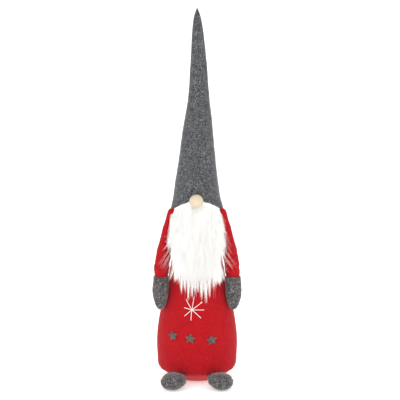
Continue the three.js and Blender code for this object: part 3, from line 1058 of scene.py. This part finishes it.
def tubes(name, paths, sides=8):
    """Closed round tubes along paths; each item of paths is a path's points and its radius."""
    points, faces = [], []
    angles = np.linspace(0, 2 * math.pi, sides, endpoint=False)
    for path, radius in paths:
        path = np.asarray(path, float)
        first = len(points)
        for p, s, u in zip(path, *beside_path(path)):
            points.extend(p + radius * (math.cos(a) * s + math.sin(a) * u) for a in angles)
        for i in range(len(path) - 1):
            a, b = first + i * sides, first + (i + 1) * sides
            faces.extend([a + j, a + (j + 1) % sides, b + (j + 1) % sides, b + j] for j in range(sides))
        last = first + (len(path) - 1) * sides
        faces.append([first + j for j in reversed(range(sides))])
        faces.append([last + j for j in range(sides)])
    return new_piece(name, points, faces)


def twisted(path, offset, pitch, plies=2, start=0.0):
    """The paths of yarn plies that wind round a path."""
    path = np.asarray(path, float)
    side, up = beside_path(path)
    length = np.concatenate([[0], np.cumsum(np.linalg.norm(np.diff(path, axis=0), axis=1))])
    made = []
    for k in range(plies):
        turn = (start + 2 * math.pi * (length / pitch + k / plies))[:, None]
        made.append(path + offset * (np.cos(turn) * side + np.sin(turn) * up))
    return made


# Each stitch's end from the snowflake's centre, across and up, in millimetres
SNOWFLAKE_ENDS_MM = [
    (19.7, -0.3), (14.6, -13.2), (-1.4, -17), (-12.2, -10.7), (-12.5, 2.8), (-9.3, 16.2),
    (3.6, 21), (15, 11.4),
]
SNOWFLAKE_CENTRE = (-8 * MM, 124 * MM)
PLY_RADIUS = 0.29 * MM
LOOP_RADIUS = 0.45 * MM


def make_snowflake(front):
    """One yarn of two plies, sewn as stitches from a centre that a small loop covers."""
    centre_x, centre_z = SNOWFLAKE_CENTRE
    paths = []

    def circle(x, z, half, lift, start, end, count):
        """A round loop of yarn on the body's front."""
        turns = np.linspace(start, end, count)
        places = [(x + half[0] * math.cos(a), z + half[1] * math.sin(a)) for a in turns]
        paths.append(([front.lifted(*place, lift) for place in places], LOOP_RADIUS))

    for k, (across, up) in enumerate(SNOWFLAKE_ENDS_MM):
        bow = 0.35 * MM * math.sin(2.1 * k)
        path = []
        for s in np.linspace(0, 1, 44):
            x = centre_x + across * MM * s + bow * math.sin(math.pi * s)
            lift = (0.75 + 0.5 * math.exp(-((s / 0.08) ** 2)) + 0.12 * (k % 3)) * MM
            lift -= 2.4 * MM * max(0.0, (s - 0.94) / 0.06) ** 2
            path.append(front.lifted(x, centre_z + up * MM * s, lift))
        for strand in twisted(path, 0.25 * MM, 2.4 * MM, start=1.3 * k):
            paths.append((strand, PLY_RADIUS))
    circle(centre_x, centre_z, (1.1 * MM, 1.0 * MM), 1.6 * MM, 0.3, 2 * math.pi + 0.1, 26)
    across, up = SNOWFLAKE_ENDS_MM[-1]
    end_x, end_z = centre_x + across * MM, centre_z + up * MM
    circle(end_x, end_z, (0.7 * MM, 0.7 * MM), 0.9 * MM, 0.0, 2 * math.pi + 0.2, 22)
    snowflake = tubes("snowflake", paths)
    dress(snowflake, WHITE_YARN, "torso")
    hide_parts("snowflake_yarn")


BASE_STITCHES = 58
STITCH_RADIUS = 0.3 * MM


def make_base_stitches(body):
    """Small ladder stitches across the seam between the body and its base, but not where a foot
    covers it."""
    tree = tree_of(body)
    paths = []
    feet = [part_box(f"{side}_foot_cover") for side in ("right", "left")]
    for k in range(BASE_STITCHES):
        angle = 2 * math.pi * (k + 0.5) / BASE_STITCHES
        out = Vector((math.cos(angle), BODY_DEPTH_SHARE * math.sin(angle), 0)).normalized()
        spot = tree.ray_cast(Vector((0, 0, BODY_LOW + 4 * MM)) + out * 0.2, -out)[0]
        if any(low[0] < spot.x < high[0] and spot.y < high[1] + 3 * MM for low, high in feet):
            continue
        path = []
        for s in np.linspace(-1, 1, 9):
            z = BODY_LOW + 0.2 * MM + s * 1.9 * MM
            inward = 2.5 * MM * max(0.0, -s) + 1.8 * MM * abs(s) ** 3
            path.append(Vector((spot.x, spot.y, z)) - out * (2.2 * MM + inward))
        paths.append((path, STITCH_RADIUS))
    stitches = tubes("base_stitches", paths, sides=6)
    dress(stitches, SEAM_THREAD, "torso")


# ---------------------------------------------------------------- beard

PILE_DEPTH = 13 * MM
BEARD_TOP = 300 * MM
BEARD_LOW = 203 * MM  # where the backing ends; its pile hangs lower
# Height and half width of the fur's backing, in millimetres: its outline with a waist
BACKING_HALF_MM = [(200, 31), (215, 32), (232, 35), (250, 39.5), (264, 39.5), (284, 36), (300, 34)]


class Support:
    """The smooth surface that the fur lies on: the body's front, and the sleeves beside it."""

    def __init__(self):
        self.heights = np.linspace(0.12, 0.306, 80)
        body = sections(["body_cover"], self.heights)
        arms = sections(["left_sleeve", "left_mitten"], self.heights)
        outer = arms[:, 0] + arms[:, 2]
        self.depth = softened(body[:, 3:4], 3)[:, 0] + 1.5 * MM
        self.width = softened(outer[:, None], 6)[:, 0] + 7 * MM

    def brim_limit(self, x, z):
        """How far forward fur may reach: behind the hat's cloth above the brim, free below it."""
        radii = hat_radii(z) - HAT_THICK - 0.4 * MM
        inside = np.sqrt(np.clip(1 - (x / radii) ** 2, 0.02, 1)) * radii * HAT_DEPTH
        angles = -np.arccos(np.clip(x / (39 * MM), -1, 1))
        below = np.clip(brim_height(angles) - 1.0 * MM - z, 0, None)
        return inside + (1.1 + 2.4 * way_up(np.abs(x), 36 * MM) ** 2) * below

    def y(self, x, z):
        width = np.interp(z, self.heights, self.width)
        depth = np.interp(z, self.heights, self.depth)
        share = np.clip(np.abs(x) / width, 0, 0.97)
        return -depth * (1 - share**3.2) ** (1 / 3.2)


def backing_half(z):
    heights, halves = zip(*BACKING_HALF_MM)
    return np.interp(z, np.array(heights) * MM, np.array(halves) * MM)


def slab(name, support, half, low, top, near, far):
    """A closed, curved slab over the support: near and far give its back's and its front's
    distance from it, as functions of how far across (-1 to 1) and up (0 to 1) a place is."""
    columns, rows = 40, 48
    points = np.zeros((2, rows, columns, 3))
    for r, up in enumerate(np.linspace(0, 1, rows)):
        z = low + (top - low) * up
        for c, across in enumerate(np.linspace(-1, 1, columns)):
            x = half(z) * across
            y = support.y(x, z)
            front = max(y - far(across, up), -support.brim_limit(x, z) + 0.5 * MM)
            back = max(y - near(across, up), front + 0.8 * MM)
            points[0, r, c] = (x, back, z)
            points[1, r, c] = (x, front, z)
    index = np.arange(2 * rows * columns).reshape(2, rows, columns)
    faces = []
    for r in range(rows - 1):
        for c in range(columns - 1):
            a, b = index[0], index[1]
            faces.append([a[r, c], a[r + 1, c], a[r + 1, c + 1], a[r, c + 1]])
            faces.append([b[r, c], b[r, c + 1], b[r + 1, c + 1], b[r + 1, c]])
    edge = [(0, c) for c in range(columns)]
    edge += [(r, columns - 1) for r in range(1, rows)]
    edge += [(rows - 1, c) for c in range(columns - 2, -1, -1)]
    edge += [(r, 0) for r in range(rows - 2, 0, -1)]
    for (r, c), (s, d) in zip(edge, edge[1:] + edge[:1]):
        faces.append([index[0, r, c], index[0, s, d], index[1, s, d], index[1, r, c]])
    return new_piece(name, points.reshape(-1, 3), [[int(i) for i in f] for f in faces])


def pile_depth(x, z):
    """How far the fur stands off its support: thin under the brim and at the sides."""
    top = np.clip((BEARD_TOP + 3 * MM - z) / (26 * MM), 0.12, 1) ** 0.7
    side = 1 - 0.55 * way_up(np.abs(x), 50 * MM) ** 2
    low = np.clip((z - 130 * MM) / (70 * MM), 0.25, 1)
    return PILE_DEPTH * top * side * low


STRAND_TAPER = np.array([0.8, 1.0, 1.0, 0.92, 0.76, 0.5, 0.1])  # radius at each step, root to tip
EVEN_TONES = [0.5, 0.26, 0.16, 0.08]  # odds of each of the fur's tones
PALE_TONES = [0.6, 0.25, 0.15, 0.0]
SMOOTH_SHARE = 0.65  # how far the strands are shaded as one smooth pile


def pile_normals(paths):
    """The direction that the pile as a whole faces at each place: forward, and out at the sides."""
    return unit(paths * [7, 0, 0] + [0, -0.55, 0.15])


class Locks:
    """Hair strands, gathered as they are grown and made into one mesh of tapered fibres."""

    def __init__(self, support):
        self.support = support
        self.paths, self.radii, self.tones = [], [], []

    def grow(self, roots, tips, layers, thickness, tone_odds, bow=0.0):
        """roots and tips are (count, 2) places across and up, layers how deep in the pile (0 to
        1) each strand lies, thickness its root radius."""
        count = len(roots)
        s = np.linspace(0, 1, len(STRAND_TAPER))[None, :]
        curve = s**1.25
        x = roots[:, :1] + (tips[:, :1] - roots[:, :1]) * curve
        x = x + bow * np.sin(math.pi * s) * (RANDOM.random((count, 1)) - 0.5)
        z = roots[:, 1:] + (tips[:, 1:] - roots[:, 1:]) * s
        rise = 1 - np.exp(-5 * s)
        depth = 1.6 * MM + pile_depth(x, z) * layers[:, None] * rise
        y = np.maximum(self.support.y(x, z) - depth, -self.support.brim_limit(x, z))
        self.paths.append(np.stack([x, y, z], 2))
        self.radii.append(thickness[:, None] * STRAND_TAPER)
        self.tones.append(RANDOM.choice(len(FUR_TONES), count, p=tone_odds))

    def piece(self, name):
        paths = np.concatenate(self.paths)
        radii = np.concatenate(self.radii)
        tones = np.concatenate(self.tones)
        count, steps = radii.shape
        along = unit(np.gradient(paths, axis=1))
        side = unit(np.cross(along, [0.0, 1.0, 0.0]))
        up = np.cross(side, along)
        corners = np.zeros((count, steps, 3, 3))
        for k, angle in enumerate((math.pi / 2, math.pi * 7 / 6, math.pi * 11 / 6)):
            corners[:, :, k] = paths + radii[:, :, None] * (
                math.cos(angle) * side + math.sin(angle) * up
            )
        index = np.arange(count * steps * 3).reshape(count, steps, 3)
        quads = np.stack([
            np.stack([index[:, :-1, k], index[:, 1:, k],
                      index[:, 1:, (k + 1) % 3], index[:, :-1, (k + 1) % 3]], 2)
            for k in range(3)
        ], 2).reshape(count, -1, 4)
        faces, slots = [], []
        for strand, (block, tone) in enumerate(zip(quads, tones)):
            faces.extend(block.tolist())
            faces.append(index[strand, 0].tolist())
            faces.append(index[strand, -1, ::-1].tolist())
            slots.extend([int(tone)] * (len(block) + 2))
        made = new_piece(name, corners.reshape(-1, 3), faces)
        outward = pile_normals(paths)[:, :, None]
        own = unit(corners - paths[:, :, None])
        facing = (own * outward).sum(3, keepdims=True)
        smooth = SMOOTH_SHARE * np.clip(0.5 + 1.5 * facing, 0, 1)
        shaded = unit((1 - smooth) * own + smooth * outward)
        made.data.normals_split_custom_set_from_vertices(shaded.reshape(-1, 3).tolist())
        for tone in FUR_TONES:
            made.data.materials.append(tone)
        made.data.polygons.foreach_set("material_index", slots)
        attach(made, "torso")
        return made


def place_roots(count, low, high):
    z = low + (high - low) * RANDOM.random(count)
    x = backing_half(z) * (2 * RANDOM.random(count) - 1) * 0.99
    return np.stack([x, z], 1)


def lock_tips(roots):
    """Where a lock that grows at a root ends: down, a little outward, and flared at the sides."""
    count = len(roots)
    x, z = roots[:, 0], roots[:, 1]
    out = way_up(np.abs(x), 38 * MM)
    length = RANDOM.uniform(42, 58, count) * MM
    high_side = (out > 0.62) & (z > 246 * MM)
    length = np.where(high_side, RANDOM.uniform(28, 42, count) * MM, length)
    floor = (169 + 4 * np.sin(x / (5.5 * MM)) + RANDOM.uniform(-6, 6, count)) * MM
    tip_z = np.maximum(z - length, floor)
    low_side = (out > 0.6) & (z < 222 * MM)
    drift = np.where(low_side, RANDOM.uniform(4, 12, count), RANDOM.uniform(-5, 1, count))
    drift = np.where(high_side, RANDOM.uniform(3, 9, count), drift) * MM
    tip_x = x + np.sign(x) * out**1.5 * drift + RANDOM.normal(0, 1.6, count) * MM
    return np.stack([tip_x, tip_z], 1)


def grow_layer(locks, count, low, high, strands, layer, radius_mm):
    """Locks of several strands whose tips come together to a point."""
    centres = place_roots(count, low, high)
    ends = lock_tips(centres)
    depth = RANDOM.uniform(layer[0], layer[1], count)
    for _ in range(strands):
        spread = RANDOM.normal(0, 1, (count, 2)) * [2.6 * MM, 2.8 * MM]
        roots = centres + spread
        limit = backing_half(roots[:, 1])
        roots[:, 0] = np.clip(roots[:, 0], -limit, limit)
        roots[:, 1] = np.minimum(roots[:, 1], BEARD_TOP - 1 * MM)
        loose = RANDOM.uniform(0.1, 0.5, (count, 1))
        tips = ends + spread * loose + RANDOM.normal(0, 0.5, (count, 2)) * MM
        tips[:, 1] += (1.2 * np.abs(spread[:, 0]) + np.abs(RANDOM.normal(0, 2.5, count)) * MM)
        thick = RANDOM.uniform(0.7, 1.15, count) * radius_mm * MM
        layers = np.clip(depth + RANDOM.normal(0, 0.06, count), 0.05, 1.1)
        locks.grow(roots, tips, layers, thick, EVEN_TONES, bow=2.2 * MM)


# Pointed locks that hang clear of the beard: root and tip, each across and up, in millimetres
WISPS_MM = [
    ((-24, 192), (-25, 148)), ((-14, 190), (-14, 138)), ((-8, 190), (-8, 142)),
    ((-3, 190), (-3, 147)), ((6, 190), (7, 139)), ((13, 192), (15, 134)),
    ((19, 194), (20.5, 143)), ((26, 194), (27, 156)), ((-31, 198), (-35, 168)),
    ((31, 198), (37, 166)), ((-32, 206), (-43, 170)), ((33, 206), (44, 168)),
    ((-20, 192), (-19.5, 153)), ((1, 190), (1.5, 150)), ((10, 190), (11, 150)),
]
# Thin wisps at the sides, in the same way
SIDE_WISPS_MM = [
    ((-38, 226), (-61, 181)), ((-38, 228), (-63, 186)), ((-37, 222), (-57, 183)),
    ((-38, 220), (-54, 178)), ((-38, 215), (-50, 178)), ((-38, 234), (-55, 200)),
    ((-39, 240), (-53, 214)), ((-40, 250), (-52, 229)), ((38, 224), (62, 179)),
    ((38, 228), (64, 184)), ((37, 219), (58, 181)), ((38, 215), (52, 180)), ((38, 212), (48, 182)),
    ((39, 234), (57, 203)), ((40, 240), (54, 215)), ((40, 252), (53, 230)),
]


def grow_wisps(locks, wisps, strands, radius_mm):
    for root, tip in wisps:
        spread = RANDOM.normal(0, 1, (strands, 2)) * [1.5 * MM, 3 * MM]
        roots = np.array(root) * MM + spread
        tips = np.array(tip) * MM + spread * 0.2 + RANDOM.normal(0, 0.9, (strands, 2)) * MM
        tips[:, 1] += np.abs(RANDOM.normal(0, 7, strands)) * MM
        layers = RANDOM.uniform(0.45, 0.8, strands)
        thick = RANDOM.uniform(0.8, 1.3, strands) * radius_mm * MM
        locks.grow(roots, tips, layers, thick, PALE_TONES, bow=3 * MM)


FRINGE_HEIGHTS = [200 * MM, 230 * MM, 270 * MM, 298 * MM]
FRINGE_SHARES = [0.6, 0.9, 1.0, 0.5]


def grow_fringe(locks, count):
    """Single fine hairs that stand out at the beard's two sides."""
    side = np.where(RANDOM.random(count) < 0.5, -1.0, 1.0)
    z = RANDOM.uniform(196, 298, count) * MM
    x = side * (backing_half(z) - RANDOM.uniform(0, 7, count) * MM)
    reach = RANDOM.uniform(2, 12, count) * np.interp(z, FRINGE_HEIGHTS, FRINGE_SHARES) * MM
    fall = RANDOM.uniform(14, 36, count) * MM
    roots = np.stack([x, z], 1)
    tips = np.stack([x + side * reach, z - fall], 1)
    thick = RANDOM.uniform(0.09, 0.17, count) * MM
    locks.grow(roots, tips, RANDOM.uniform(0.2, 0.95, count), thick, PALE_TONES, bow=3 * MM)


def grow_hem(locks, count):
    """Single fine hairs that hang below the beard, longest in the middle."""
    half = 30 * MM
    lowest = 142 * MM
    x = RANDOM.uniform(-1, 1, count) * half
    z = RANDOM.uniform(192, 215, count) * MM
    fall = (22 + RANDOM.gamma(3, 6, count) * (1 - 0.5 * (x / half) ** 2)) * MM
    roots = np.stack([x, z], 1)
    tip_x = x * 1.03 + RANDOM.normal(0, 2.5, count) * MM
    tips = np.stack([tip_x, np.maximum(z - fall, lowest)], 1)
    thick = RANDOM.uniform(0.09, 0.17, count) * MM
    locks.grow(roots, tips, RANDOM.uniform(0.5, 1.0, count), thick, PALE_TONES, bow=3 * MM)


# Name, locks, lowest and highest root, strands in a lock, depth in the pile, strand radius
PILE_LAYERS = [
    ("beard_pile_inner", 210, 203, 300, 24, (0.3, 0.65), 0.30),
    ("beard_pile_lower", 210, 203, 252, 24, (0.5, 0.9), 0.22),
    ("beard_pile_upper", 210, 245, 300, 24, (0.55, 0.95), 0.22),
    ("beard_pile_outer", 210, 203, 300, 24, (0.7, 1.05), 0.17),
]


def make_beard():
    """The fur: a cloth backing, a dense ground, four layers of locks, and loose hairs."""
    support = Support()
    backing = slab(
        "beard_backing", support, lambda z: backing_half(z) - 1 * MM, BEARD_LOW, BEARD_TOP - 3 * MM,
        lambda across, up: 0.4 * MM, lambda across, up: 1.6 * MM,
    )
    dress(backing, FUR_GROUND, "torso")

    def ground_front(across, up):
        round_side = (1 - abs(across) ** 4) ** 0.5
        round_end = min(1.0, up / 0.3) ** 0.6
        x = across * 36 * MM
        z = 190 * MM + up * (BEARD_TOP - 193 * MM)
        return 2.0 * MM + 0.5 * pile_depth(x, z) * round_side * round_end

    ground = slab(
        "beard_underfur", support, lambda z: backing_half(z) - 3 * MM, 186 * MM, BEARD_TOP - 3 * MM,
        lambda across, up: 1.8 * MM, ground_front,
    )
    dress(ground, FUR_GROUND, "torso")

    for name, count, low, high, strands, layer, radius in PILE_LAYERS:
        locks = Locks(support)
        grow_layer(locks, count, low * MM, high * MM, strands, layer, radius)
        locks.piece(name)
    locks = Locks(support)
    grow_fringe(locks, 1500)
    grow_hem(locks, 300)
    grow_wisps(locks, WISPS_MM, 26, 0.17)
    grow_wisps(locks, SIDE_WISPS_MM, 2, 0.12)
    locks.piece("beard_wisps")
    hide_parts("beard_fur")


# ---------------------------------------------------------------- hidden CAD pieces


def make_insides():
    """The fillings of the body and the arms; the threads and the ballast bag keep their CAD shapes."""
    make_stuffing("body_filling", "torso", 5 * MM)
    for side in ("right", "left"):
        make_stuffing(f"{side}_arm_filling", f"{side}_arm", 1 * MM)
        dress(frame["nodes"][f"{side}_shoulder_thread"], SEAM_THREAD)
        dress(frame["nodes"][f"{side}_foot_thread"], SEAM_THREAD)
    dress(frame["nodes"]["ballast_bag"], BALLAST_CLOTH)


studio()
body_piece = make_body()
make_base()
make_base_stitches(body_piece)
make_hat()
for side_name in ("right", "left"):
    make_arm(side_name)
    make_foot(side_name)
make_nose()
body_front = Front(body_piece)
make_star(body_front, "right_star", 12, 0.92)
make_star(body_front, "middle_star", -6, 1.0)
make_star(body_front, "left_star", 8, 1.08)
make_snowflake(body_front)
make_beard()
make_insides()

bpy.context.view_layer.update()
